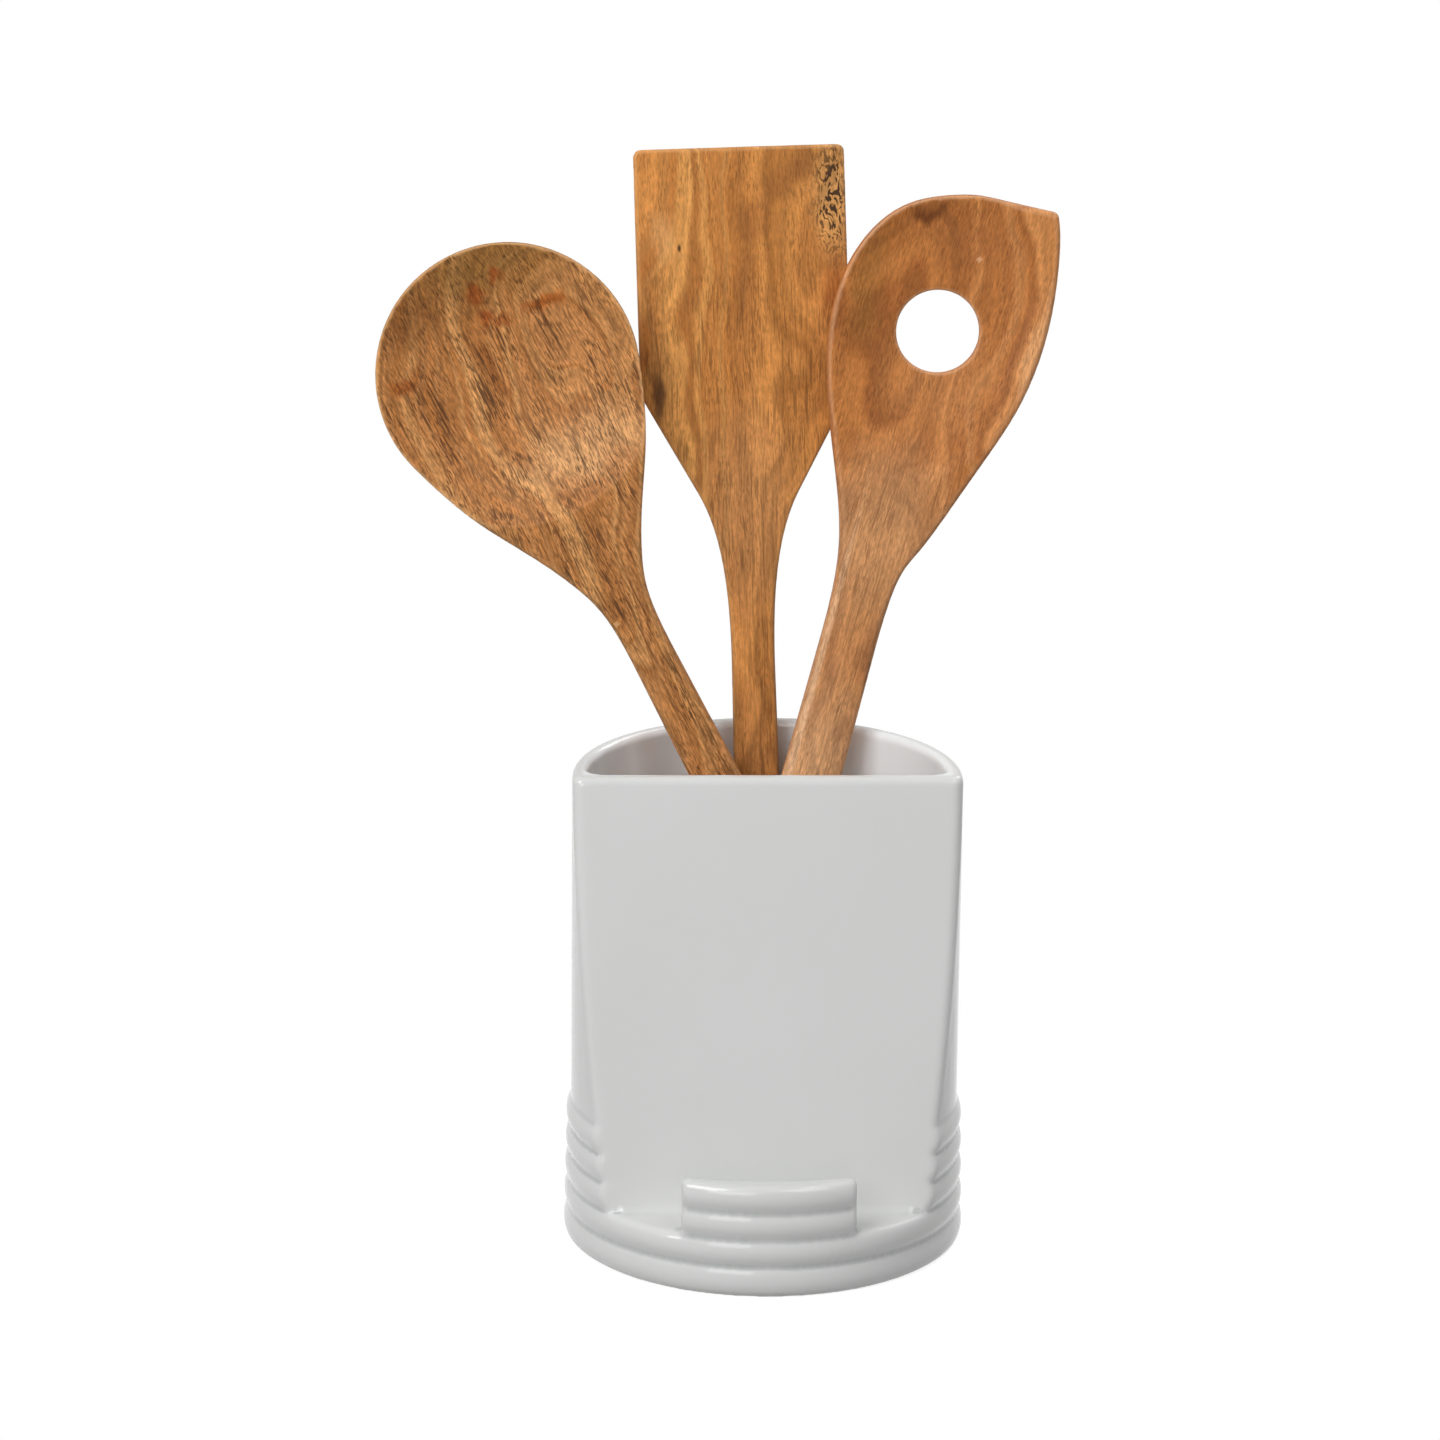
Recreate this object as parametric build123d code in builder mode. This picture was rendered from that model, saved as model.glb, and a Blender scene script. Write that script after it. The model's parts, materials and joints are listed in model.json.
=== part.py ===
from build123d import *
import os
from math import cos, radians, sin, sqrt

# A glazed utensil crock with a slanted flat front, a ledge and a lip that hold a tablet or a recipe card,
# and the three wooden tools that stand in it. Millimetres. +Z is up and the flat front faces -Y.
# The origin is the centre of the foot ring, on the surface that the crock stands on.

# Crock
crock_height = 160.0
rim_radius = 64.5
wall = 5.2
rim_chamfer = 1.4
foot_recess = 2.0
foot_width = 5.0
base_chamfer = 1.5

# The rings moulded round the base, counted from the lowest. Each is rounded in a few bands.
ring_count = 5
ring_band_count = 5
ledge_ring_count = 2
lip_ring_count = 2
lowest_ring_height = 10.6
ring_pitch = 9.2
ring_depth = 1.5
ring_radius = 66.9
ring_inset = 0.2

# The slanted flat front, the ledge under it and the lip in front of the ledge
flat_top_offset = 7.0
flat_bottom_offset = 38.6
flat_side_radius = 3.4
ledge_edge_radius = 3.0
ledge_cove = 3.0
lip_width = 57.4
lip_back_offset = 56.2
lip_back_radius = 125.0
lip_edge_radius = 2.4

# The hollow inside
cavity_corner_radius = 6.0
cavity_floor_chamfer = 3.0

# How the tools stand: they lean back on the rim in three parallel layers
lean_back = 8.5
seat_gap = 0.3
handle_thickness = 10.0

# The lens-shaped section of the handles, before it is cut to the outline
handle_form_share = 1.4
handle_crown = 3.4
flat_face_share = 0.92

# Round spoon, the front layer. Drops are measured down from the top of a tool.
spoon_length = 340.3
spoon_tilt = -27.4
spoon_rim_x = -21.3
spoon_thickness = 17.5
spoon_bowl_radius = 43.9
spoon_bowl_turn = 18.0
spoon_neck_half_width = 7.2
spoon_neck_drop = 148.0
spoon_end_half_width = 9.5
spoon_edge = 1.0
spoon_bowl_depth = 12.0
spoon_dish_half_width = 53.0
spoon_dish_rise = 3.0
# Between the bowl and the neck: half width over the bowl's, and drop over the neck's
spoon_neck_shares = ((0.70, 0.568), (0.42, 0.709), (0.26, 0.806))
# Across the bowl: height above its centre and half width over its radius, back depth at middle and edge
spoon_bowl_shares = (
    (-1.75, 0.34, 0.46, 0.3),
    (-1.1, 0.75, 0.7, 0.2),
    (-0.5, 1.05, 1.0, 0.12),
    (0.1, 1.1, 1.0, 0.1),
    (0.65, 0.95, 0.7, 0.18),
    (1.05, 0.5, 0.2, 0.16),
)

# Corner spoon, the middle layer
corner_length = 347.2
corner_tilt = 14.8
corner_rim_x = 19.6
corner_bowl_half_width = 35.6
corner_point_radius = 1.6
corner_neck_half_width = 9.3
corner_neck_drop = 155.0
corner_end_half_width = 10.8
corner_edge = 1.2
corner_bowl_depth = 5.5
corner_dish_half_width = 36.0
corner_dish_half_length = 52.0
corner_dish_drop = 47.5
corner_hole_radius = 13.9
corner_hole_x = 1.6
corner_hole_drop = 48.5
# The outline from its point down the right side, and up the left: place across and drop
corner_right_shares = (
    (0.83, 0.0),
    (0.96, 0.10),
    (1.036, 0.284),
    (0.966, 0.42),
    (0.713, 0.597),
    (0.424, 0.776),
)
corner_left_shares = (
    (-0.33, 0.805),
    (-0.60, 0.626),
    (-0.93, 0.395),
    (-0.966, 0.271),
    (-0.78, 0.128),
    (-0.494, 0.057),
    (-0.107, 0.018),
)
corner_point_down_shares = (0.5, -1)
corner_point_left_shares = (1, 0.05)
# Across the bowl: height above the neck, half width, back depth at middle and edge
corner_bowl_shares = (
    (0.25, 0.56, 1.0, 0.7),
    (0.5, 0.9, 1.0, 0.7),
    (0.75, 1.2, 1.0, 0.5),
    (1.02, 1.3, 0.5, 0.3),
)

# Flat turner, the back layer
turner_length = 348.0
turner_tilt = -2.0
turner_rim_x = -2.3
turner_blade_half_width = 35.2
turner_blade_length = 82.0
turner_corner_radius = 2.5
turner_shoulder_radius = 18.0
turner_neck_half_width = 7.2
turner_neck_drop = 172.0
turner_end_half_width = 8.8
turner_tip_thickness = 3.0
turner_edge = 0.7
# Where the straight taper below the blade ends: half width over the blade's, drop over the neck's
turner_taper_shares = (0.48, 0.67)
# Across the blade: height above the neck, half width, how much of the handle's thickness is left
turner_blade_shares = (
    (0.25, 0.5, 1.0),
    (0.4, 0.9, 0.85),
    (0.53, 1.2, 0.65),
    (0.77, 1.25, 0.35),
    (1.02, 1.25, 0.0),
)

# Spare length of every cutting solid past what it cuts, and how near a picked edge lies to its place
overrun = 8.0
nearness = 0.1


# Crock body
# Radius and height of the valley on top of so many rings; none means the bottom edge.
def ring_valley(level):
    height = 0 if level == 0 else lowest_ring_height + (level - 1) * ring_pitch
    return ring_radius - ring_inset * level - ring_depth, height


# The outline of one ring, from the valley under it to the valley over it: a shallow round swell.
def ring_points(level):
    (low_radius, low_height), (high_radius, high_height) = ring_valley(level), ring_valley(level + 1)
    points = []
    for band in range(ring_band_count + 1):
        share = band / ring_band_count
        swell = 4 * share * (1 - share) * ring_depth
        radius = low_radius + share * (high_radius - low_radius) + swell
        points.append((radius, low_height + share * (high_height - low_height)))
    return points


ledge_height = ring_valley(ledge_ring_count)[1]
lip_height = ring_valley(ledge_ring_count + lip_ring_count)[1]
flat_slope = (flat_bottom_offset - flat_top_offset) / (crock_height - ledge_height)
flat_stretch = sqrt(1 + flat_slope**2)
front_limit = ring_radius + overrun


# Where the slanted flat lies at a height.
def flat_y(height):
    return (height - ledge_height) * flat_slope - flat_bottom_offset


with BuildPart() as crock:
    with BuildSketch(Plane.XZ):
        with BuildLine():
            Line((0, 0), ring_valley(0))
            for level in range(ring_count):
                Polyline(*ring_points(level))
            Polyline(ring_valley(ring_count), (rim_radius, crock_height), (0, crock_height), (0, 0))
        make_face()
        outer_corners = vertices().filter_by(lambda v: v.X > rim_radius / 2)
        chamfer(outer_corners.sort_by(Axis.Y)[0], base_chamfer)
    revolve(axis=Axis.Z)

# The space in front of the flat. It reaches below the ledge, whose rounded top is added afterwards.
with BuildPart() as front_pocket:
    pocket_floor = ledge_height - ledge_edge_radius
    with BuildSketch(Plane.YZ):
        with BuildLine():
            Polyline(
                (flat_y(pocket_floor), pocket_floor),
                (-front_limit, pocket_floor),
                (-front_limit, crock_height + overrun),
                (flat_y(crock_height + overrun), crock_height + overrun),
                close=True,
            )
        make_face()
    extrude(amount=front_limit, both=True)
    with BuildSketch(Plane.XY.offset(pocket_floor)):
        lip_back_sag = lip_back_radius - sqrt(lip_back_radius**2 - (lip_width / 2) ** 2)
        with BuildLine():
            lip_back = ThreePointArc(
                (-lip_width / 2, lip_back_sag - lip_back_offset),
                (0, -lip_back_offset),
                (lip_width / 2, lip_back_sag - lip_back_offset),
            )
            Polyline(
                lip_back @ 1,
                (lip_width / 2, -front_limit),
                (-lip_width / 2, -front_limit),
                lip_back @ 0,
            )
        make_face()
    extrude(amount=lip_height - pocket_floor, mode=Mode.SUBTRACT)

with crock:
    add(front_pocket.part, mode=Mode.SUBTRACT)
    above_ledge = crock.edges().filter_by(lambda e: (e @ 0.5).Z > pocket_floor + nearness)
    flat_sides = above_ledge.filter_by(
        lambda e: (e @ 0.5).Z < crock_height - nearness
        and abs((e @ 0.5).Y - flat_y((e @ 0.5).Z)) < nearness
    )
    fillet(flat_sides, flat_side_radius)
    lip_edges = crock.edges().filter_by(
        lambda e: pocket_floor + nearness < (e @ 0.5).Z < lip_height + nearness
        and abs((e @ 0.5).X) < lip_width / 2 + nearness
        and (e @ 0.5).Y < lip_back_sag - lip_back_offset + nearness
    )
    fillet(lip_edges, lip_edge_radius)


# The ledge: the lowest rings with a flat, round-shouldered top, and a cove where it meets the flat
with BuildPart() as ledge:
    with BuildSketch(Plane.XZ):
        with BuildLine():
            for level in range(ledge_ring_count):
                Polyline(*ring_points(level))
            Polyline(ring_valley(ledge_ring_count), (0, ledge_height), (0, 0), ring_valley(0))
        make_face()
        outer_corners = vertices().filter_by(lambda v: v.X > rim_radius / 2)
        chamfer(outer_corners.sort_by(Axis.Y)[0], base_chamfer)
        fillet(outer_corners.sort_by(Axis.Y)[-1], ledge_edge_radius)
    revolve(axis=Axis.Z)

with BuildPart() as cove:
    with BuildSketch(Plane.YZ):
        with BuildLine():
            cove_top = ledge_height + ledge_cove / flat_stretch
            cove_curve = TangentArc(
                (flat_y(cove_top), cove_top),
                (-flat_bottom_offset - ledge_cove, ledge_height),
                tangent=(-flat_slope, -1),
            )
            behind_flat = flat_y(cove_top) + flat_side_radius
            Polyline(cove_curve @ 1, (behind_flat, ledge_height), (behind_flat, cove_top), cove_curve @ 0)
        make_face()
    extrude(amount=front_limit, both=True)
    with BuildSketch(Plane.XY.offset(ledge_height)):
        Circle(ring_valley(ledge_ring_count)[0] - ledge_edge_radius)
    extrude(amount=ledge_cove, mode=Mode.INTERSECT)

# The hollow: a round well whose front follows the flat, and which reaches forward below the ledge
cavity_floor = foot_recess + wall
ledge_underside = ledge_height - wall
cavity_front_offset = wall * flat_stretch
ring_top_radius, ring_top_height = ring_valley(ring_count)


def cavity_radius(height):
    taper = (rim_radius - ring_top_radius) / (crock_height - ring_top_height)
    return rim_radius - wall - taper * (crock_height - height)


with BuildPart() as cavity:
    cavity_top = crock_height + overrun
    with BuildSketch(Plane.XZ):
        Polygon(
            (0, cavity_floor),
            (cavity_radius(cavity_floor), cavity_floor),
            (cavity_radius(cavity_top), cavity_top),
            (0, cavity_top),
            align=None,
        )
    revolve(axis=Axis.Z)
    with BuildSketch(Plane.YZ):
        Polygon(
            (flat_y(ledge_underside) + cavity_front_offset, ledge_underside),
            (-front_limit, ledge_underside),
            (-front_limit, cavity_top + overrun),
            (flat_y(cavity_top + overrun) + cavity_front_offset, cavity_top + overrun),
            align=None,
        )
    extrude(amount=front_limit, both=True, mode=Mode.SUBTRACT)
    slanted_corners = edges().filter_by(GeomType.ELLIPSE)
    fillet(slanted_corners, cavity_corner_radius)
    chamfer(edges().group_by(Axis.Z)[0], cavity_floor_chamfer)

with crock:
    add(ledge.part)
    add(cove.part)
    add(cavity.part, mode=Mode.SUBTRACT)
    chamfer(faces().sort_by(Axis.Z)[-1].edges(), rim_chamfer)
    with BuildSketch(Plane.XY):
        Circle(ring_valley(0)[0] - base_chamfer - foot_width)
    extrude(amount=foot_recess, mode=Mode.SUBTRACT)

# Tools

# All three tools lean back by the same angle, so each keeps to its own layer. The turner's back is nearest
# to the wall, at the height where the wall starts to turn over into the rim.
rest_height = crock_height - rim_chamfer
lean = radians(lean_back)
half_thickness = handle_thickness / 2
layer_pitch = (handle_thickness + seat_gap) / cos(lean)
turner_back_y = sqrt((cavity_radius(rest_height) - seat_gap) ** 2 - turner_rim_x**2)
turner_layer_y = turner_back_y - half_thickness / cos(lean)
corner_layer_y = turner_layer_y - layer_pitch
spoon_layer_y = corner_layer_y - layer_pitch


# The plane through a tool's middle: local y up the tool, local z out of its face, and the origin at the
# lower tip of its handle, which stops just above the floor of the crock or just short of its wall.
def tool_plane(rim_x, layer_y, tilt, end_half_width):
    turn = radians(tilt)
    across = Vector(cos(turn), -sin(turn) * sin(lean), -sin(turn) * cos(lean))
    face = Vector(0, -cos(lean), sin(lean))
    at_rim = Plane(origin=(rim_x, layer_y, rest_height), x_dir=across, z_dir=face)
    down = -at_rim.y_dir
    lowest_centre = cavity_floor + seat_gap + end_half_width * cos(lean) + half_thickness * sin(lean)
    to_floor = (rest_height - lowest_centre) / -down.Z
    side = 1 if down.X > 0 else -1
    reach = Vector(rim_x + side * end_half_width, layer_y + half_thickness)
    spread = down.X**2 + down.Y**2
    inward = reach.X * down.X + reach.Y * down.Y
    clear_radius = cavity_radius(cavity_floor) - seat_gap
    to_wall = (-inward + sqrt(inward**2 + spread * (clear_radius**2 - reach.X**2 - reach.Y**2))) / spread
    handle_tip = at_rim.origin + down * (min(to_floor, to_wall) + end_half_width)
    return Plane(origin=handle_tip, x_dir=across, z_dir=face)


# Each tool is shaped lying flat: x across it, y up from the tip of its handle, z out of its face. This is a
# lens-shaped section across it, given by its height, its half width, and how far its face and its back
# stand off the tool's middle, each at the middle of the section and at its edge.
def tool_section(height, half_width, face, face_edge, back, back_edge):
    with BuildSketch(Plane.XZ.offset(-height)) as section:
        with BuildLine():
            crown = ThreePointArc((-half_width, face_edge), (0, face), (half_width, face_edge))
            belly = ThreePointArc((half_width, -back_edge), (0, -back), (-half_width, -back_edge))
            Line(crown @ 1, belly @ 0)
            Line(belly @ 1, crown @ 0)
        make_face()
    return section.sketch


# The thickness of a tool, a little wider than its outline: an even handle, then a loft up its head.
def thickness_form(neck_height, end_half_width, head_sections):
    edge = half_thickness - handle_crown
    handle = (handle_form_share * end_half_width, half_thickness, edge, half_thickness, edge)
    with BuildPart() as form:
        extrude(tool_section(-overrun, *handle), amount=-(neck_height + overrun))
        neck_sections = [(neck_height - overrun, *handle), (neck_height, *handle)]
        loft([tool_section(*section) for section in neck_sections + head_sections])
    return form.part


# Hollows a dish out of a tool's face, round both ways, with an oval rim on the face. It is swept like the
# tread of a wide wheel, whose curve runs on above the face, so that it crosses the face cleanly.
def cut_dish(centre, half_width, half_length, depth):
    across_radius = (half_width**2 + depth**2) / (2 * depth)
    along_radius = (half_length**2 + depth**2) / (2 * depth)
    bottom, top = half_thickness - depth, half_thickness + overrun
    reach = sqrt(across_radius**2 - (across_radius + bottom - top) ** 2)
    with BuildSketch(Plane.XZ.offset(-centre)) as dish:
        with BuildLine():
            curve = ThreePointArc((-reach, top), (0, bottom), (reach, top))
            Line(curve @ 1, curve @ 0)
        make_face()
    wheel_axis = Axis((0, centre, bottom + along_radius), (1, 0, 0))
    revolve(dish.sketch, axis=wheel_axis, mode=Mode.SUBTRACT)


# Round spoon
spoon_bowl_y = spoon_length - spoon_bowl_radius
spoon_neck_y = spoon_length - spoon_neck_drop
spoon_back = spoon_thickness - half_thickness
bowl_face_edge = half_thickness * flat_face_share

spoon_sections = []
for height_share, width_share, back_share, back_edge_share in spoon_bowl_shares:
    spoon_sections.append(
        (
            spoon_bowl_y + height_share * spoon_bowl_radius,
            width_share * spoon_bowl_radius,
            half_thickness,
            bowl_face_edge,
            back_share * spoon_back,
            back_edge_share * spoon_back,
        )
    )

spoon_form = thickness_form(spoon_neck_y, spoon_end_half_width, spoon_sections)

with BuildPart() as spoon_blank:
    with BuildSketch(Plane.XY.offset(-spoon_thickness)):
        with BuildLine():
            bowl = CenterArc((0, spoon_bowl_y), spoon_bowl_radius, -spoon_bowl_turn, 90 + spoon_bowl_turn)
            neck_points = [
                (spoon_bowl_radius * width, spoon_length - spoon_neck_drop * drop)
                for width, drop in spoon_neck_shares
            ]
            neck = (spoon_neck_half_width, spoon_neck_y)
            Spline(bowl @ 0, *neck_points, neck, tangents=(-(bowl % 0), (0, -1)))
            Line(neck, (spoon_end_half_width, spoon_end_half_width))
            CenterArc((0, spoon_end_half_width), spoon_end_half_width, 0, -90)
            mirror(about=Plane.YZ)
        make_face()
    extrude(amount=2 * spoon_thickness)
    add(spoon_form, mode=Mode.INTERSECT)
    chamfer(edges(), spoon_edge)
    cut_dish(
        spoon_bowl_y + spoon_dish_rise,
        spoon_dish_half_width,
        spoon_dish_half_width,
        spoon_bowl_depth,
    )

# Corner spoon: one side of its bowl runs out to a corner, and a round hole goes through the dish
corner_neck_y = corner_length - corner_neck_drop


def corner_points(shares):
    return [
        (corner_bowl_half_width * across, corner_length - corner_neck_drop * drop)
        for across, drop in shares
    ]


corner_sections = []
for rise_share, width_share, back_share, back_edge_share in corner_bowl_shares:
    corner_sections.append(
        (
            corner_neck_y + rise_share * corner_neck_drop,
            width_share * corner_bowl_half_width,
            half_thickness,
            bowl_face_edge,
            back_share * half_thickness,
            back_edge_share * half_thickness,
        )
    )

corner_form = thickness_form(corner_neck_y, corner_end_half_width, corner_sections)

with BuildPart() as corner_blank:
    with BuildSketch(Plane.XY.offset(-handle_thickness)):
        with BuildLine():
            right_neck = (corner_neck_half_width, corner_neck_y)
            left_neck = (-corner_neck_half_width, corner_neck_y)
            tip, *right_points = corner_points(corner_right_shares)
            Spline(tip, *right_points, right_neck, tangents=(corner_point_down_shares, (0, -1)))
            left_points = corner_points(corner_left_shares)
            Spline(left_neck, *left_points, tip, tangents=((0, 1), corner_point_left_shares))
            end_centre = (0, corner_end_half_width)
            end = CenterArc(end_centre, corner_end_half_width, 0, -180)
            Line(right_neck, end @ 0)
            Line(end @ 1, left_neck)
        make_face()
        fillet(vertices().sort_by(Axis.X)[-1], corner_point_radius)
    extrude(amount=2 * handle_thickness)
    add(corner_form, mode=Mode.INTERSECT)
    chamfer(edges(), corner_edge)
    cut_dish(
        corner_length - corner_dish_drop,
        corner_dish_half_width,
        corner_dish_half_length,
        corner_bowl_depth,
    )
    with BuildSketch(Plane.XY.offset(-handle_thickness)):
        with Locations((corner_hole_x, corner_length - corner_hole_drop)):
            Circle(corner_hole_radius)
    extrude(amount=2 * handle_thickness, mode=Mode.SUBTRACT)

# Flat turner
turner_neck_y = turner_length - turner_neck_drop
turner_shoulder_y = turner_length - turner_blade_length

turner_sections = []
for rise_share, width_share, thickness_share in turner_blade_shares:
    depth = turner_tip_thickness / 2 + thickness_share * (half_thickness - turner_tip_thickness / 2)
    turner_sections.append(
        (
            turner_neck_y + rise_share * turner_neck_drop,
            width_share * turner_blade_half_width,
            depth,
            depth * flat_face_share,
            depth,
            depth * flat_face_share,
        )
    )

turner_form = thickness_form(turner_neck_y, turner_end_half_width, turner_sections)

with BuildPart() as turner_blank:
    with BuildSketch(Plane.XY.offset(-handle_thickness)):
        with BuildLine():
            shoulder = (turner_blade_half_width, turner_shoulder_y)
            taper_width_share, taper_drop_share = turner_taper_shares
            taper_end = (
                taper_width_share * turner_blade_half_width,
                turner_length - taper_drop_share * turner_neck_drop,
            )
            Polyline((0, turner_length), (turner_blade_half_width, turner_length), shoulder, taper_end)
            taper = Vector(*taper_end) - Vector(*shoulder)
            neck = (turner_neck_half_width, turner_neck_y)
            Spline(taper_end, neck, tangents=(taper, (0, -1)))
            Line(neck, (turner_end_half_width, turner_end_half_width))
            CenterArc((0, turner_end_half_width), turner_end_half_width, 0, -90)
            mirror(about=Plane.YZ)
        make_face()
        blade_corners = vertices().filter_by(lambda v: abs(abs(v.X) - turner_blade_half_width) < nearness)
        fillet(blade_corners.group_by(Axis.Y)[-1], turner_corner_radius)
        fillet(blade_corners.group_by(Axis.Y)[0], turner_shoulder_radius)
    extrude(amount=2 * handle_thickness)
    add(turner_form, mode=Mode.INTERSECT)
    chamfer(edges(), turner_edge)

# Standing the tools in the crock
spoon_plane = tool_plane(spoon_rim_x, spoon_layer_y, spoon_tilt, spoon_end_half_width)
corner_plane = tool_plane(corner_rim_x, corner_layer_y, corner_tilt, corner_end_half_width)
turner_plane = tool_plane(turner_rim_x, turner_layer_y, turner_tilt, turner_end_half_width)

with BuildPart() as round_spoon:
    with Locations(spoon_plane):
        add(spoon_blank.part)

with BuildPart() as corner_spoon:
    with Locations(corner_plane):
        add(corner_blank.part)

with BuildPart() as flat_turner:
    with Locations(turner_plane):
        add(turner_blank.part)

# Files
crock.part.label = "crock"
round_spoon.part.label = "round_spoon"
corner_spoon.part.label = "corner_spoon"
flat_turner.part.label = "flat_turner"

os.makedirs("parts", exist_ok=True)
export_step(crock.part, "parts/crock.step")
export_step(round_spoon.part, "parts/round_spoon.step")
export_step(corner_spoon.part, "parts/corner_spoon.step")
export_step(flat_turner.part, "parts/flat_turner.step")

# How each tool is lifted out: its direction, and the way that takes its handle clear of the rim
for name, plane in (
    ("round_spoon", spoon_plane),
    ("corner_spoon", corner_plane),
    ("flat_turner", turner_plane),
):
    lift = (crock_height - plane.origin.Z) / plane.y_dir.Z
    print(name, "tip", plane.origin, "direction", plane.y_dir, "lift", round(lift, 1))
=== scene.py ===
import json
import math
import bmesh
import bpy
from mathutils import Matrix, Vector


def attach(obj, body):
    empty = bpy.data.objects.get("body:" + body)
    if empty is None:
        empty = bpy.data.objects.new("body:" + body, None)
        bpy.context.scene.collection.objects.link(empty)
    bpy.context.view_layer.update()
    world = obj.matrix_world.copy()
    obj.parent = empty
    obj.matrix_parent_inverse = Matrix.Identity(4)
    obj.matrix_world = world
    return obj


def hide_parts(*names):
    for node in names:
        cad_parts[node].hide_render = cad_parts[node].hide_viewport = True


# A white glazed utensil crock with three oiled wooden tools. Metres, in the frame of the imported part.
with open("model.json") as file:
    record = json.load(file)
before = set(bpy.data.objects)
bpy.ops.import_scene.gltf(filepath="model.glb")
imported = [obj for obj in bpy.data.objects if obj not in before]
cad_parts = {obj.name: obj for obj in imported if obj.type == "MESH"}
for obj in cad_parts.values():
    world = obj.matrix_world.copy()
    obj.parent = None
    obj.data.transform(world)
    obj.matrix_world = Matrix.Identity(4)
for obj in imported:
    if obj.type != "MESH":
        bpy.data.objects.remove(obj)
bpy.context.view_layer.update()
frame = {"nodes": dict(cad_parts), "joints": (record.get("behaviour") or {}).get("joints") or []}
mm = 0.001


def toLinear(hexColour):  # sRGB hex to the linear colour that a shader takes
    parts = [int(hexColour[i:i + 2], 16) / 255 for i in (0, 2, 4)]
    return [p / 12.92 if p <= 0.04045 else ((p + 0.055) / 1.055) ** 2.4 for p in parts] + [1.0]


def addNode(tree, kind, sockets, **settings):  # one node, with its settings, its values and its links
    made = tree.nodes.new(kind)
    for name, value in settings.items():
        setattr(made, name, value)
    for name, value in sockets.items():
        socket = made.inputs[name]
        if isinstance(value, bpy.types.NodeSocket):
            tree.links.new(value, socket)
        else:
            socket.default_value = value
    return made.outputs


def newMaterial(name):
    material = bpy.data.materials.new(name)
    material.use_nodes = True
    material.node_tree.nodes.clear()
    return material, material.node_tree


def setStops(rampOutputs, stops):  # colour ramp stops as place and sRGB hex
    ramp = rampOutputs[0].node.color_ramp
    while len(ramp.elements) < len(stops):
        ramp.elements.new(0.5)
    for element, (place, hexColour) in zip(ramp.elements, stops):
        element.position = place
        element.color = toLinear(hexColour)


def layColours(tree, base, layers):  # lays colours over a base, each by its share, the last on top
    for share, hexColour in layers:
        over = toLinear(hexColour)
        base = addNode(tree, "ShaderNodeMix", {0: share, 6: base, 7: over}, data_type="RGBA")[2]
    return base


# What several patterns give together. Each is a value, the range it runs over, and what the two ends give.
def shareOf(tree, patterns):
    together = None
    for value, low, high, atLow, atHigh in patterns:
        share = addNode(tree, "ShaderNodeMapRange", {"Value": value, 1: low, 2: high, 3: atLow, 4: atHigh})[0]
        if together is not None:
            share = addNode(tree, "ShaderNodeMath", {0: together, 1: share}, operation="MULTIPLY")[0]
        together = share
    return together


# The crock: stoneware dipped in a glossy white glaze. Painted shade makes it darker and a little cooler in
# the grooves, painted light makes it whiter inside the well, the surface is very slightly uneven, and a few
# pinholes show. The foot ring is wiped bare before firing.
crock = {
    "node": "crock",
    "piece": "glazedCrock",
    "slot": "white_glazed_stoneware",
    "cell": 0.85 * mm,  # the finest edge that its skin keeps
    "flow": 1,  # how far the glaze softens it
    "keep": 0.37,  # share of the faces, since the plain walls need fewer than the rings
    "colour": "E2E3E2",
    "cloudColour": "DCDDDB",
    "cloudSize": 60.0,  # mm, as all lengths below
    "paintedWellLightColour": "F7FAFC",  # painted light: whiter inside the well, for the light that bounces round in it
    "wellRadius": 60.0,  # a little more than the well's
    "wellRun": 2.0,  # over which the wall's top turns from outside to inside
    "frontSlope": 0.2254,  # back for each mm up
    "frontFoot": 43.06,  # in front of the axis, where the slanted front would meet the worktop
    "frontWall": (2.0, 4.5),  # behind that front, where inside begins and is reached
    "pinholeColour": "6E6C66",
    "pinholeSpacing": 27.0,
    "pinholeSize": 0.2,
    "pinholeEdge": 1.8,  # times that size
    "paintedGrooveShadeColour": "A4A9A8",  # painted shade in the grooves between the rings
    "paintedGrooveShadeShare": 0.5,
    "grooves": (0.478, 0.498),  # Pointiness in a groove and on a plain face
    "ripple": 16.0,  # the soft unevenness of the dipped glaze
    "rippleHeight": 0.012,
    "bareColour": "CFC8BA",
    "bareBelow": (0.5, 1.0),
    "bareRoughness": 0.85,
    "roughness": 0.03,
    "ior": 1.54,
}


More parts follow.
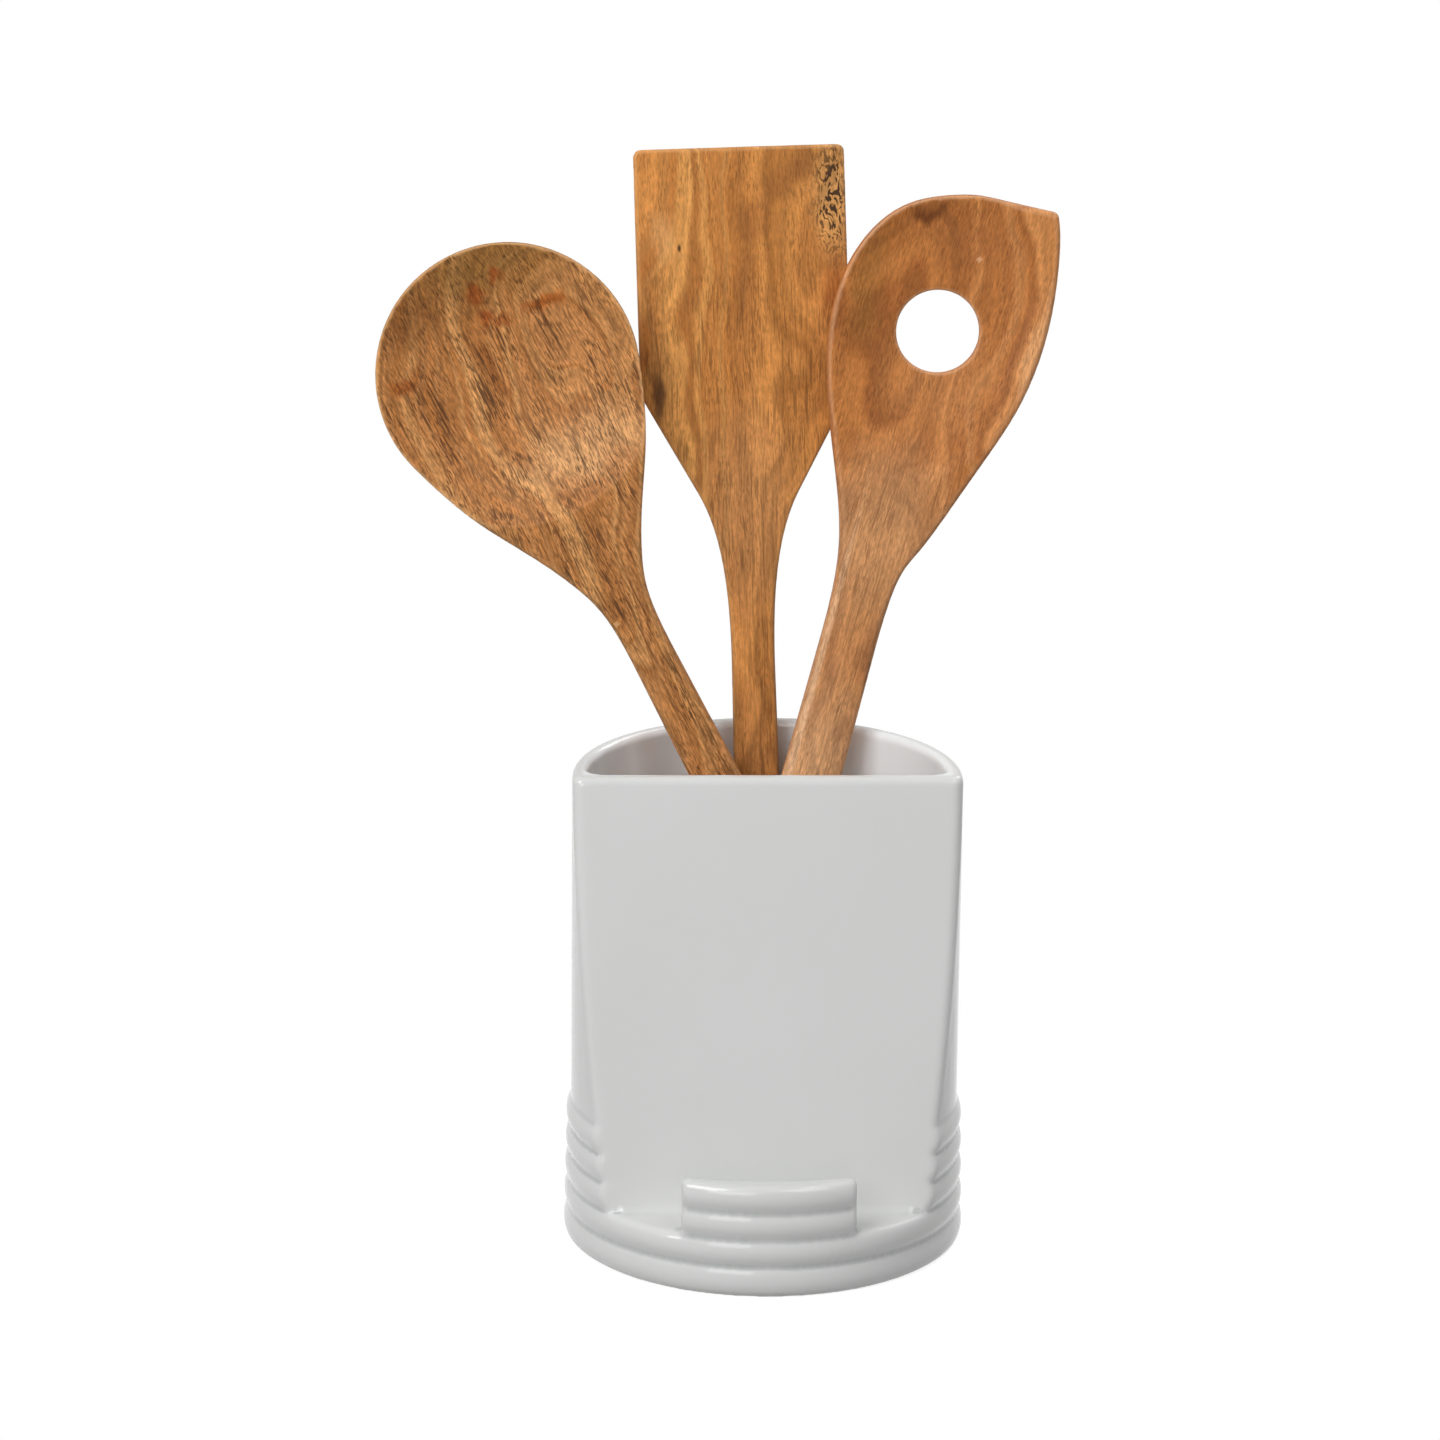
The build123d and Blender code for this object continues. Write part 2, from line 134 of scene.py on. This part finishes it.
def makeGlazedStoneware(look):
    material, tree = newMaterial("glazedStoneware")
    place = addNode(tree, "ShaderNodeTexCoord", {})["Object"]
    inMm = addNode(tree, "ShaderNodeMapping", {"Vector": place, "Scale": (1 / mm,) * 3})["Vector"]
    cloud = addNode(tree, "ShaderNodeTexNoise", {
        "Vector": inMm, "Scale": 1 / look["cloudSize"], "Detail": 3.0})
    # painted well light: nearer the axis than the wall's inner face, and behind the slanted front, painted
    # whiter for the light that bounces round inside
    level = addNode(tree, "ShaderNodeVectorMath", {0: inMm, 1: (1.0, 1.0, 0.0)}, operation="MULTIPLY")
    fromAxis = addNode(tree, "ShaderNodeVectorMath", {0: level[0]}, operation="LENGTH")["Value"]
    parts = addNode(tree, "ShaderNodeSeparateXYZ", {0: inMm})
    front = addNode(tree, "ShaderNodeMath", {0: parts["Z"], 1: look["frontSlope"], 2: -look["frontFoot"]},
                    operation="MULTIPLY_ADD")
    behindFront = addNode(tree, "ShaderNodeMath", {0: parts["Y"], 1: front[0]}, operation="SUBTRACT")[0]
    paintedWellLight = shareOf(tree, [
        (fromAxis, look["wellRadius"], look["wellRadius"] + look["wellRun"], 1.0, 0.0),
        (behindFront, *look["frontWall"], 0.0, 1.0),
    ])
    cells = addNode(tree, "ShaderNodeTexVoronoi", {"Vector": inMm, "Scale": 1 / look["pinholeSpacing"]})
    reach = look["pinholeSize"] / look["pinholeSpacing"]
    pinhole = shareOf(tree, [(cells["Distance"], reach, look["pinholeEdge"] * reach, 1.0, 0.0)])
    hollow = addNode(tree, "ShaderNodeNewGeometry", {})["Pointiness"]
    # painted shade: darker and cooler where the surface is hollow, in the grooves between the rings
    paintedGrooveShade = shareOf(tree, [(hollow, *look["grooves"], look["paintedGrooveShadeShare"], 0.0)])
    bare = shareOf(tree, [(parts["Z"], *look["bareBelow"], 1.0, 0.0)])
    colour = layColours(tree, toLinear(look["colour"]), [
        (cloud["Fac"], look["cloudColour"]),
        (paintedWellLight, look["paintedWellLightColour"]),
        (pinhole, look["pinholeColour"]),
        (paintedGrooveShade, look["paintedGrooveShadeColour"]),
        (bare, look["bareColour"]),
    ])
    roughness = shareOf(tree, [(bare, 0.0, 1.0, look["roughness"], look["bareRoughness"])])
    ripple = addNode(tree, "ShaderNodeTexNoise", {
        "Vector": inMm, "Scale": 1 / look["ripple"], "Detail": 1.0})
    relief = addNode(tree, "ShaderNodeMath", {0: ripple["Fac"], 1: pinhole}, operation="SUBTRACT")
    bump = addNode(tree, "ShaderNodeBump", {
        "Height": relief[0], "Strength": 1.0, "Distance": look["rippleHeight"] * mm})
    shader = addNode(tree, "ShaderNodeBsdfPrincipled", {
        "Base Color": colour, "Roughness": roughness, "IOR": look["ior"], "Normal": bump[0]})
    addNode(tree, "ShaderNodeOutputMaterial", {"Surface": shader[0]})
    return material


# The tools: acacia, sawn, sanded and oiled, which leaves a satin face with open pores. Lengths are in mm,
# along each tool's own axes: x across it, y up it from the tip of the handle, z out of its face. The heart is
# where the middle of the log was. A stain is a place where the log was darker or paler, and a few are painted
# shade,
# shadow or highlight: place, half size across and along, colour, and how much it covers.
roundSpoon = {
    "node": "round_spoon",
    "joint": "round_spoon_lift",
    "piece": "sandedRoundSpoon",
    "slot": "oiled_brown_acacia",
    "cell": 0.63 * mm,
    "flow": 2,
    "material": "oiledBrownAcacia",
    "rings": ["9C6431", "CD8C51", "B5753C", "DEA061", "C48247"],  # darker and paler growth
    "pore": "3E2009",
    "poreDepth": 0.7,  # how much of the wood's colour a short pore covers
    "fleckTone": 0.22,  # how far the flecks go lighter and darker
    "rubbed": "EDB77D",  # the handled edges
    "heart": (34.0, -70.0),  # across, and out of the face
    "ringWidth": 12.0,
    "lineWidth": 1.7,  # the fine lines within the rings
    "logTurn": (0.12, 0.03),  # radians that the log leans against the board
    "linesBelow": 322.0,  # how far up the long pores run
    "lineDepth": 0.8,  # how much of the colour they cover
    "stainsAndPaintedLight": [
        ((14.0, 334.0), (40.0, 17.0), "956931", 0.75),
        ((-22.0, 331.0), (16.0, 17.0), "834F20", 0.6),
        ((11.4, 327.3), (4.0, 3.5), "9E4C13", 0.8),
        ((3.0, 325.0), (4.5, 4.0), "9E4C13", 0.8),
        ((2.5, 317.0), (4.0, 4.0), "9E4C13", 0.8),
        ((6.5, 312.5), (4.0, 3.0), "A45012", 0.7),
        ((21.5, 313.0), (9.0, 3.6), "AB5716", 0.75),
        ((-31.6, 308.3), (6.0, 4.0), "AB5716", 0.75),
        ((-3.5, 298.0), (2.4, 18.0), "864816", 0.55),
        ((-27.0, 294.0), (6.0, 15.0), "975A24", 0.5),
        ((10.0, 264.0), (30.0, 13.0), "EEB67B", 0.55),
    ],
}
cornerSpoon = {
    "node": "corner_spoon",
    "joint": "corner_spoon_lift",
    "piece": "sandedCornerSpoon",
    "slot": "oiled_red_brown_acacia",
    "cell": 0.63 * mm,
    "flow": 2,
    "material": "oiledRedAcacia",
    "rings": ["A3602D", "C98041", "B06B32", "D89051", "BD763A"],
    "pore": "60300E",
    "poreDepth": 0.35,
    "fleckTone": 0.13,
    "rubbed": "EEB689",
    "heart": (-24.0, -60.0),
    "ringWidth": 15.0,
    "lineWidth": 1.6,
    "logTurn": (0.07, -0.02),
    "linesBelow": 262.0,
    "lineDepth": 0.45,
    "stainsAndPaintedLight": [
        ((6.0, 284.0), (22.0, 22.0), "D08C52", 0.5),
        ((0.0, 225.0), (30.0, 42.0), "DAA270", 0.65),
        ((0.0, 110.0), (20.0, 90.0), "EBB886", 0.8),
        # painted highlight: a light line down the handle's left edge
        ((-8.0, 150.0), (2.0, 95.0), "EDC196", 0.75),
        ((-11.0, 336.0), (7.5, 3.6), "63310B", 0.9),
        ((4.0, 330.0), (22.0, 12.0), "A96836", 0.45),
        ((-25.0, 308.0), (7.0, 24.0), "9C6A2F", 0.5),
        ((29.0, 300.0), (3.5, 24.0), "A7683B", 0.55),
        ((35.0, 300.0), (4.0, 30.0), "F8BC83", 0.45),
    ],
}
flatTurner = {
    "node": "flat_turner",
    "joint": "flat_turner_lift",
    "piece": "sandedFlatTurner",
    "slot": "oiled_golden_acacia",
    "cell": 0.63 * mm,
    "flow": 2,
    "material": "oiledGoldenAcacia",
    "rings": ["B06F2F", "D89048", "C07A38", "E39F54", "CC853F"],
    "pore": "54300E",
    "poreDepth": 0.4,
    "fleckTone": 0.11,
    "rubbed": "EBB275",
    "heart": (18.0, -60.0),
    "ringWidth": 14.0,
    "lineWidth": 1.9,
    "logTurn": (0.05, 0.03),
    "linesBelow": 306.0,
    "lineDepth": 0.55,
    "stainsAndPaintedLight": [
        ((0.0, 225.0), (22.0, 48.0), "CC905A", 0.55),
        ((0.0, 110.0), (18.0, 85.0), "BC8450", 0.5),
        # painted shade: the handle's right side, turned away from the light
        ((8.0, 140.0), (1.9, 95.0), "4A2A12", 0.9),
        # painted shadow: the round spoon's shadow on the left edge of the blade's taper
        ((-29.5, 266.0), (3.0, 13.0), "4E2C12", 0.8),
        ((21.0, 343.0), (8.0, 8.0), "9A5E2A", 0.6),
        ((12.0, 335.0), (8.0, 8.0), "9A5E2A", 0.6),
        ((4.0, 325.0), (6.5, 10.0), "9A5E2A", 0.6),
        ((1.0, 292.0), (6.0, 34.0), "A2642E", 0.55),
        ((-25.0, 318.0), (6.0, 11.0), "EEB675", 0.4),
        ((-31.0, 296.0), (5.0, 24.0), "985925", 0.5),
        ((31.0, 300.0), (6.0, 14.0), "A0541C", 0.65),
        ((-20.8, 315.0), (0.8, 1.7), "3C1B00", 0.95),
    ],
    "spalt": {  # a pale strip of sapwood with black flecks
        "place": (31.0, 331.0),
        "size": (9.0, 25.0),
        "colour": "CC9B5E",
        "share": 0.55,
        "fleck": "2A1603",
        "fleckShare": 0.95,
    },
}
leanBack = math.radians(8.5)  # the slope that the tools share
handleEnd = 20 * mm  # what is measured to find the middle of the handle's tip

grain = {  # each pattern's cells, in mm across and along the grain, its detail and its roughness
    "wander": (42.0, 105.0, 2.0, 0.5),
    "fray": (6.0, 16.0, 2.0, 0.5),
    "bend": (30.0, 60.0, 2.0, 0.5),
    "fibres": (0.9, 24.0, 3.0, 0.6),  # one fibre is too fine to show, so each streak is a bundle of them
    "flecks": (0.6, 2.6, 1.0, 0.6),
    "figure": (16.0, 5.0, 2.0, 0.6),
    "patches": (8.0, 22.0, 2.0, 0.6),
    "pores": (0.5, 3.4, 1.0, 0.6),  # real ones are about half as wide, drawn coarser so that they show
    "lines": (0.8, 15.0, 1.0, 0.6),
    "blots": (0.9, 1.8, 1.0, 0.5),
}
sway = {  # mm that a pattern is pushed about by another: the rings, the edges of stains, the fibres
    "wander": (36.0, 0.0, 36.0),
    "fray": (9.0, 16.0, 0.0),
    "bend": (5.0, 0.0, 5.0),
}
finish = {  # the oiled face
    "ringStops": (0.28, 0.42, 0.5, 0.6, 0.72),
    "deepStretch": 0.4,  # patterns run deeper into the board than across it
    "spotEdge": (0.25, 1.15),  # of a spot's half size, where it starts to fade and is gone
    "crispBelow": 2.0,  # mm, half size of the spots that the grain doesn't fray
    "lineFade": 12.0,  # mm, over which the long pores fade out up the tool
    "rubbedEdges": (0.506, 0.55, 0.0, 0.6),  # Pointiness from and to, and the share of rubbed colour there
    "roughness": (0.62, 0.5),
    "fibreHeight": 0.35,  # of a pore's depth
    "poreHeight": 0.12,  # mm
    "relief": 0.6,
    "specular": 0.3,
    "ior": 1.45,
}


def toolPlace(look):  # the tool's own axes as rows, and the tip of its handle in them
    axis = next(j["axis"] for j in frame["joints"] if j["name"] == look["joint"])
    face = Vector((0, -math.cos(leanBack), math.sin(leanBack)))
    up = Vector(axis).normalized()
    turn = Matrix((up.cross(face), up, face))
    points = [turn @ v.co for v in frame["nodes"][look["node"]].data.vertices]
    lowest = min(p.y for p in points)
    end = [p for p in points if p.y < lowest + handleEnd]
    centre = [(min(p[i] for p in end) + max(p[i] for p in end)) / 2 for i in (0, 2)]
    return turn, Vector((centre[0], lowest, centre[1]))


def grainNoise(tree, vector, pattern):
    across, along, detail, roughness = grain[pattern]
    cells = addNode(tree, "ShaderNodeMapping", {
        "Vector": vector, "Scale": (1 / across, 1 / along, finish["deepStretch"] / across)})["Vector"]
    return addNode(tree, "ShaderNodeTexNoise", {
        "Vector": cells, "Scale": 1.0, "Detail": detail, "Roughness": roughness})


def swayed(tree, vector, pattern):  # lets what is drawn on the vector wander by a slow noise
    noise = grainNoise(tree, vector, pattern)["Color"]
    centred = addNode(tree, "ShaderNodeVectorMath", {0: noise, 1: (0.5, 0.5, 0.5)}, operation="SUBTRACT")
    scaled = addNode(tree, "ShaderNodeVectorMath", {0: centred[0], 1: sway[pattern]}, operation="MULTIPLY")
    return addNode(tree, "ShaderNodeVectorMath", {0: vector, 1: scaled[0]})[0]


def spotShare(tree, vector, place, size, share):  # the share at a spot's middle, fading to 0 at its edge
    centred = addNode(tree, "ShaderNodeMapping", {
        "Vector": vector, "Scale": (1 / size[0], 1 / size[1], 0.0),
        "Location": (-place[0] / size[0], -place[1] / size[1], 0.0)})
    away = addNode(tree, "ShaderNodeVectorMath", {0: centred[0]}, operation="LENGTH")["Value"]
    fadeFrom, fadeTo = finish["spotEdge"]
    return addNode(tree, "ShaderNodeMapRange", {"Value": away, 1: fadeFrom, 2: fadeTo, 3: share, 4: 0.0},
                   interpolation_type="SMOOTHSTEP")[0]


def makeAcacia(look):
    material, tree = newMaterial(look["material"])
    turn, tip = toolPlace(look)
    place = addNode(tree, "ShaderNodeTexCoord", {})["Object"]
    local = addNode(tree, "ShaderNodeMapping", {
        "Vector": place, "Scale": (1 / mm,) * 3, "Rotation": turn.to_euler("XYZ"),
        "Location": -tip / mm})["Vector"]

    # growth rings: distance from the heart of the log, which leans a little against the board
    log = addNode(tree, "ShaderNodeMapping", {
        "Vector": swayed(tree, local, "wander"),
        "Location": (-look["heart"][0], 0.0, -look["heart"][1]),
        "Rotation": (look["logTurn"][0], 0.0, look["logTurn"][1])})
    flatLog = addNode(tree, "ShaderNodeVectorMath", {0: log[0], 1: (1.0, 0.0, 1.0)}, operation="MULTIPLY")
    radius = addNode(tree, "ShaderNodeVectorMath", {0: flatLog[0]}, operation="LENGTH")["Value"]
    ringPlace = addNode(tree, "ShaderNodeMath", {0: radius, 1: look["ringWidth"]}, operation="DIVIDE")[0]
    rings = addNode(tree, "ShaderNodeTexNoise", {
        "W": ringPlace, "Scale": 1.0, "Detail": 4.0, "Roughness": 0.6}, noise_dimensions="1D")
    ringLines = addNode(tree, "ShaderNodeTexNoise", {
        "W": radius, "Scale": 1 / look["lineWidth"], "Detail": 2.0}, noise_dimensions="1D")["Fac"]
    ringColour = addNode(tree, "ShaderNodeValToRGB", {"Fac": rings[0]})
    setStops(ringColour, list(zip(finish["ringStops"], look["rings"])))

    # stains, and painted shade, shadow and highlight, with edges that the grain frays
    frayed = swayed(tree, local, "fray")
    layers = []
    for spotPlace, size, spotColour, share in look["stainsAndPaintedLight"]:
        vector = frayed if min(size) > finish["crispBelow"] else local
        layers.append((spotShare(tree, vector, spotPlace, size, share), spotColour))
    spalt = look.get("spalt")
    if spalt:
        paleShare = spotShare(tree, frayed, spalt["place"], spalt["size"], 1.0)
        layers.append((shareOf(tree, [(paleShare, 0.0, 1.0, 0.0, spalt["share"])]), spalt["colour"]))
    colour = layColours(tree, ringColour[0], layers)

    # fibres: fine streaks along the grain, lighter and darker than the wood round them
    fibreGrain = swayed(tree, local, "bend")
    fibres = grainNoise(tree, fibreGrain, "fibres")["Fac"]
    figure = grainNoise(tree, fibreGrain, "figure")["Fac"]
    flecks = grainNoise(tree, fibreGrain, "flecks")["Fac"]
    tone = shareOf(tree, [
        (fibres, 0.32, 0.68, 0.9, 1.1),
        (figure, 0.3, 0.7, 0.95, 1.05),
        (flecks, 0.36, 0.64, 1.0 - look["fleckTone"], 1.0 + look["fleckTone"]),
        (ringLines, 0.34, 0.66, 0.86, 1.11),
    ])
    colour = addNode(tree, "ShaderNodeVectorMath", {0: colour, "Scale": tone}, operation="SCALE")[0]

    # open pores: short ones all over, and long lines up to where the grain turns out of the face
    patches = (grainNoise(tree, fibreGrain, "patches")["Fac"], 0.36, 0.6, 0.35, 1.0)
    upTool = addNode(tree, "ShaderNodeSeparateXYZ", {0: frayed})["Y"]
    linesFrom, linesTo = [look["linesBelow"] + side * finish["lineFade"] for side in (-1, 1)]
    shortPores = shareOf(tree, [
        (grainNoise(tree, fibreGrain, "pores")["Fac"], 0.54, 0.62, 0.0, look["poreDepth"]),
        patches,
    ])
    longPores = shareOf(tree, [
        (grainNoise(tree, fibreGrain, "lines")["Fac"], 0.55, 0.63, 0.0, 1.0),
        (upTool, linesFrom, linesTo, look["lineDepth"], 0.0),
        patches,
    ])
    pores = addNode(tree, "ShaderNodeMath", {0: shortPores, 1: longPores}, operation="MAXIMUM")[0]
    layers = [(pores, look["pore"])]
    if spalt:
        blots = grainNoise(tree, frayed, "blots")["Fac"]
        blotShare = shareOf(tree, [
            (blots, 0.5, 0.57, 0.0, spalt["fleckShare"]),
            (paleShare, 0.0, 1.0, 0.0, 1.0),
        ])
        layers.append((blotShare, spalt["fleck"]))

    # handled edges are rubbed paler
    edge = addNode(tree, "ShaderNodeNewGeometry", {})["Pointiness"]
    layers.append((shareOf(tree, [(edge, *finish["rubbedEdges"])]), look["rubbed"]))
    colour = layColours(tree, colour, layers)

    satin = shareOf(tree, [(fibres, 0.3, 0.7, *finish["roughness"])])
    fibreRelief = shareOf(tree, [(fibres, 0.0, 1.0, 0.0, finish["fibreHeight"])])
    relief = addNode(tree, "ShaderNodeMath", {0: fibreRelief, 1: pores}, operation="SUBTRACT")
    bump = addNode(tree, "ShaderNodeBump", {
        "Height": relief[0], "Strength": finish["relief"], "Distance": finish["poreHeight"] * mm})
    shader = addNode(tree, "ShaderNodeBsdfPrincipled", {
        "Base Color": colour, "Roughness": satin, "IOR": finish["ior"],
        "Specular IOR Level": finish["specular"], "Normal": bump[0]})
    addNode(tree, "ShaderNodeOutputMaterial", {"Surface": shader[0]})
    return material


# Each solid gets the skin that its maker gives it: glaze runs soft over every edge and ring of the crock, and
# sanding rounds the wood
def makeSkin(look, material):
    mesh = frame["nodes"][look["node"]].data.copy()
    piece = bpy.data.objects.new(look["piece"], mesh)
    bpy.context.scene.collection.objects.link(piece)
    work = bmesh.new()
    work.from_mesh(mesh)
    bmesh.ops.remove_doubles(work, verts=work.verts, dist=0.01 * mm)
    work.to_mesh(mesh)
    work.free()
    remesh = piece.modifiers.new("skin", "REMESH")
    remesh.mode = "VOXEL"
    remesh.voxel_size = look["cell"]
    remesh.use_smooth_shade = True
    soften = piece.modifiers.new("flow", "SMOOTH")
    soften.factor = 0.5
    soften.iterations = look["flow"]
    if "keep" in look:
        thin = piece.modifiers.new("thin", "DECIMATE")
        thin.ratio = look["keep"]
    bpy.context.view_layer.objects.active = piece
    for modifier in [m.name for m in piece.modifiers]:
        bpy.ops.object.modifier_apply(modifier=modifier)
    piece.data.shade_smooth()
    piece.data.materials.clear()
    piece.data.materials.append(material)
    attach(piece, look["node"])
    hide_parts(look["node"])
    print(look["piece"], len(piece.data.polygons), "faces")


print("materials")
finished = [(crock, makeGlazedStoneware(crock))]
for look in (roundSpoon, cornerSpoon, flatTurner):
    finished.append((look, makeAcacia(look)))
print("skins")
for look, material in finished:
    makeSkin(look, material)

# The studio: a white floor that fades into white, a large soft light from the upper left, weaker ones from
# the right, the front and behind, a strip overhead that shows in the glaze, and a pale room
studio = {
    "floorSize": 8.0,
    "floorColour": "A0A0A0",
    "floorGlow": 0.86,  # what is seen on top of the lit floor, so that it reads as white
    "shadowFrom": 0.07,  # m from the middle of the crock: the lit floor shows up to here
    "shadowTo": 0.18,  # and has faded into plain white here
    "worldLevel": 0.25,  # what the room adds on every side
}
aim = (0, 0, 0.14)  # m, where the soft lights point
softLights = [  # name, place, width and height in m, watts
    ("keySoftbox", (-0.95, -0.9, 1.35), (1.0, 1.0), 18.0),
    ("rightSoftbox", (0.6, -1.1, 1.5), (0.7, 0.7), 5.5),
    ("topStrip", (0.42, 0.0, 1.75), (0.7, 0.12), 1.6),
    ("frontSoftbox", (-0.9, -2.4, 1.2), (1.2, 1.0), 8.5),
    ("backSoftbox", (0.9, 1.2, 1.5), (1.0, 1.0), 11.0),
]


def seenRays(tree):  # 1 for what the eye, a reflection or glass sees, 0 for what lights the object
    rays = addNode(tree, "ShaderNodeLightPath", {})
    seen = addNode(tree, "ShaderNodeMath", {0: rays["Is Camera Ray"], 1: rays["Is Glossy Ray"]},
                   operation="MAXIMUM")[0]
    return addNode(tree, "ShaderNodeMath", {0: seen, 1: rays["Is Transmission Ray"]}, operation="MAXIMUM")[0]


def makeFloor():
    material, tree = newMaterial("paleFloor")
    seen = seenRays(tree)
    place = addNode(tree, "ShaderNodeTexCoord", {})["Object"]
    away = addNode(tree, "ShaderNodeVectorMath", {0: place}, operation="LENGTH")["Value"]
    fade = addNode(tree, "ShaderNodeMapRange", {
        "Value": away, 1: studio["shadowFrom"], 2: studio["shadowTo"]}, interpolation_type="SMOOTHSTEP")[0]
    white = addNode(tree, "ShaderNodeMath", {0: fade, 1: seen}, operation="MULTIPLY")
    glow = addNode(tree, "ShaderNodeMath", {0: seen, 1: studio["floorGlow"]}, operation="MULTIPLY")
    lit = addNode(tree, "ShaderNodeBsdfDiffuse", {"Color": toLinear(studio["floorColour"])})
    shine = addNode(tree, "ShaderNodeEmission", {"Strength": glow[0]})
    near = addNode(tree, "ShaderNodeAddShader", {0: lit[0], 1: shine[0]})
    far = addNode(tree, "ShaderNodeEmission", {"Strength": 1.0})
    both = addNode(tree, "ShaderNodeMixShader", {0: white[0], 1: near[0], 2: far[0]})
    addNode(tree, "ShaderNodeOutputMaterial", {"Surface": both[0]})
    bpy.ops.mesh.primitive_plane_add(size=studio["floorSize"])
    floor = bpy.context.object
    floor.name = "floor"
    floor.data.materials.append(material)


def makeWorld():
    world = bpy.data.worlds.new("studioWorld")
    world.use_nodes = True
    tree = world.node_tree
    tree.nodes.clear()
    level = addNode(tree, "ShaderNodeMapRange", {"Value": seenRays(tree), 3: studio["worldLevel"], 4: 1.0})
    sky = addNode(tree, "ShaderNodeBackground", {"Strength": level[0]})
    addNode(tree, "ShaderNodeOutputWorld", {"Surface": sky[0]})
    bpy.context.scene.world = world


def makeLights():
    for name, place, size, watts in softLights:
        lamp = bpy.data.lights.new(name, "AREA")
        lamp.shape = "RECTANGLE"
        lamp.size, lamp.size_y = size
        lamp.energy = watts
        holder = bpy.data.objects.new(name, lamp)
        holder.location = place
        holder.rotation_euler = (Vector(aim) - Vector(place)).to_track_quat("-Z", "Y").to_euler()
        bpy.context.scene.collection.objects.link(holder)


# The camera stands where the photograph was taken from: in front, above, a touch to the left
cameraView = {
    "place": (-0.08446, -2.19838, 0.8335),
    "turn": -1.786,  # degrees, about the upright
    "down": 16.6,
    "roll": 0.576,
    "lens": 174.6,  # mm
    "sensor": 36.0,  # mm wide
}


def makeCamera(view):
    lens = bpy.data.cameras.new("photoCamera")
    lens.lens = view["lens"]
    lens.sensor_width = view["sensor"]
    lens.clip_start, lens.clip_end = 0.05, 50.0
    camera = bpy.data.objects.new("photoCamera", lens)
    camera.matrix_world = (
        Matrix.Translation(view["place"])
        @ Matrix.Rotation(math.radians(view["turn"]), 4, "Z")
        @ Matrix.Rotation(math.radians(90 - view["down"]), 4, "X")
        @ Matrix.Rotation(math.radians(view["roll"]), 4, "Z")
    )
    bpy.context.scene.collection.objects.link(camera)
    bpy.context.scene.camera = camera


print("studio")
makeFloor()
makeWorld()
makeLights()
makeCamera(cameraView)
bpy.context.scene.view_settings.view_transform = "Standard"
